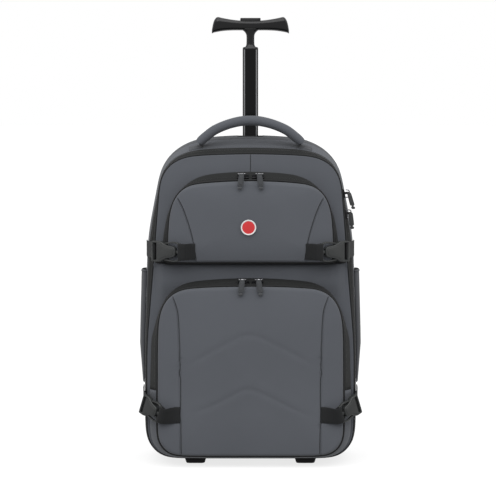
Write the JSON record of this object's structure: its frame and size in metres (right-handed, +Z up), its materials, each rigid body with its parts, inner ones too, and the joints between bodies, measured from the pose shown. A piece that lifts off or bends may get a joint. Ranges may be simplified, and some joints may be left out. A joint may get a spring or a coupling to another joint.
{
  "type": "wheeled backpack",
  "caption": "Soft grey backpack with front and side pockets, compression straps, shoulder straps, rear wheels and a telescopic pole with a T-grip.",
  "frame": {"origin": "on the floor, in the middle of the whole object's box", "axes": "+Z up, +X to the right seen from the front, the front pockets face -Y"},
  "size_m": [0.345, 0.2204, 0.69],
  "materials": {
    "fabric": "woven grey polyester",
    "band": "dark zip band",
    "piping": "black sewn piping",
    "webbing": "ribbed webbing",
    "plastic": "satin moulding",
    "gloss": "polished moulding",
    "pole": "black anodised",
    "metal": "zip slider",
    "rubber": "moulded rubber",
    "mesh": "padded mesh",
    "badge": "plain red"
  },
  "bodies": {
    "bag": {"back_shell": "fabric", "main_zip_band": "band", "main_piping": "piping", "front_panel": "fabric", "lower_zip_band": "band", "lower_pocket_gusset": "fabric", "lower_piping": "piping", "lower_pocket_panel": "fabric", "upper_zip_band": "band", "upper_piping": "piping", "upper_pocket_panel": "fabric", "badge": "badge", "carry_handle": "fabric", "trolley_channel": "plastic", "back_pad": "mesh", "side_pocket_left": "fabric", "side_pocket_right": "fabric", "wheel_housing_left": "plastic", "wheel_housing_right": "plastic", "foot_left": "rubber", "foot_right": "rubber", "shoulder_strap_left": "mesh", "shoulder_strap_right": "mesh", "strap_adjuster_left": "plastic", "strap_adjuster_right": "plastic", "lower_webbing_left": "webbing", "lower_webbing_right": "webbing", "upper_strap_stub_left": "webbing", "upper_strap_stub_right": "webbing", "upper_strap_plug_left": "plastic", "upper_strap_plug_right": "plastic", "upper_strap_socket_left": "plastic", "upper_strap_socket_right": "plastic", "upper_strap_webbing_left": "webbing", "upper_strap_webbing_right": "webbing", "lower_strap_stub_left": "webbing", "lower_strap_stub_right": "webbing", "lower_strap_plug_left": "plastic", "lower_strap_plug_right": "plastic", "lower_strap_socket_left": "plastic", "lower_strap_socket_right": "plastic", "lower_strap_webbing_left": "webbing", "lower_strap_webbing_right": "webbing", "upper_zip_slider_left": "metal", "upper_zip_slider_right": "metal", "lower_zip_slider_left": "metal", "lower_zip_slider_right": "metal", "main_zip_slider_top": "metal", "main_zip_slider_bottom": "metal"},
    "trolley": {"pole": "pole", "grip": "gloss"},
    "button": {"grip_button": "plastic"},
    "wheel_left": {"wheel_left": "rubber"},
    "wheel_right": {"wheel_right": "rubber"},
    "upper_zip_pull_left": {"upper_zip_pull_left": "plastic"},
    "upper_zip_pull_right": {"upper_zip_pull_right": "plastic"},
    "lower_zip_pull_left": {"lower_zip_pull_left": "plastic"},
    "lower_zip_pull_right": {"lower_zip_pull_right": "plastic"},
    "main_zip_pull_top": {"main_zip_pull_top": "plastic"},
    "main_zip_pull_bottom": {"main_zip_pull_bottom": "plastic"}
  },
  "joints": [
    {"name": "pole_slide", "type": "slide", "parent": "bag", "child": "trolley", "axis": [0, 0, 1], "range_m": [-0.128, 0.24]},
    {"name": "button_press", "type": "slide", "parent": "trolley", "child": "button", "axis": [0, 0, -1], "range_m": [0, 0.003], "stiffness_N_per_m": 800},
    {"name": "wheel_left_spin", "type": "hinge", "parent": "bag", "child": "wheel_left", "pos_m": [-0.1, 0.0567, 0.03], "axis": [1, 0, 0], "continuous": true},
    {"name": "wheel_right_spin", "type": "hinge", "parent": "bag", "child": "wheel_right", "pos_m": [0.1, 0.0567, 0.03], "axis": [1, 0, 0], "continuous": true},
    {"name": "upper_zip_pull_left_flip", "type": "hinge", "parent": "bag", "child": "upper_zip_pull_left", "pos_m": [-0.0135, -0.05684, 0.44813], "axis": [-1, 0, 0], "range_deg": [0, 100]},
    {"name": "upper_zip_pull_right_flip", "type": "hinge", "parent": "bag", "child": "upper_zip_pull_right", "pos_m": [0.0135, -0.05684, 0.44813], "axis": [-1, 0, 0], "range_deg": [0, 100]},
    {"name": "lower_zip_pull_left_flip", "type": "hinge", "parent": "bag", "child": "lower_zip_pull_left", "pos_m": [-0.0125, -0.0709, 0.2871], "axis": [-1, 0, 0], "range_deg": [0, 100]},
    {"name": "lower_zip_pull_right_flip", "type": "hinge", "parent": "bag", "child": "lower_zip_pull_right", "pos_m": [0.0125, -0.0709, 0.2871], "axis": [-1, 0, 0], "range_deg": [0, 100]},
    {"name": "main_zip_pull_top_flip", "type": "hinge", "parent": "bag", "child": "main_zip_pull_top", "pos_m": [0.15009, -0.0211, 0.417], "axis": [0, -1, 0], "range_deg": [0, 110]},
    {"name": "main_zip_pull_bottom_flip", "type": "hinge", "parent": "bag", "child": "main_zip_pull_bottom", "pos_m": [0.15276, -0.02259, 0.386], "axis": [0, -1, 0], "range_deg": [0, 110]}
  ]
}
